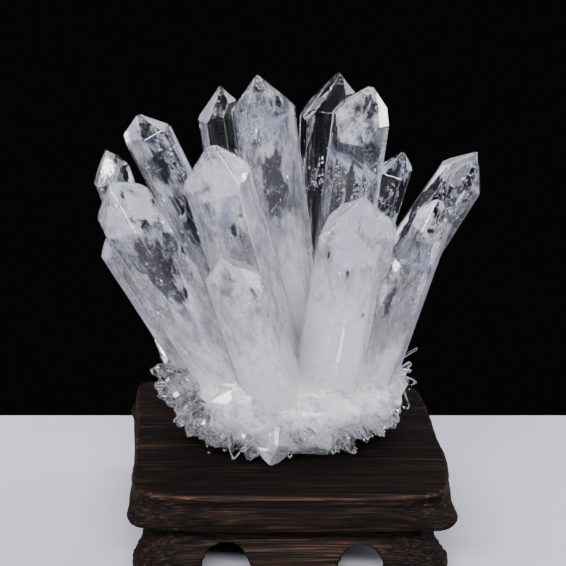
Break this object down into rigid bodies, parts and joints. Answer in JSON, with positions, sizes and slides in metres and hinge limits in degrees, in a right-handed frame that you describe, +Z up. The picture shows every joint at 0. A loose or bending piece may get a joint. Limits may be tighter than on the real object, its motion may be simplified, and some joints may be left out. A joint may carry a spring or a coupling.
{
  "type": "quartz cluster",
  "caption": "Cluster of clear and milky quartz points fanning out of a lumpy crust fringed with small points, resting on a low carved dark wooden stand with arches.",
  "frame": {"origin": "on the table, under the middle of the whole object's bounding box", "axes": "+Z up, the front of the cluster and of the stand towards -Y, +X to the viewer's right"},
  "size_m": [0.1474, 0.1024, 0.1929],
  "materials": {
    "quartz": "clear to milky, glossy natural faces",
    "dark_wood": "dark open-grained wood with brushed ridges, satin"
  },
  "bodies": {
    "root": {"quartz_cluster": "quartz", "wooden_stand": "dark_wood"}
  },
  "joints": []
}
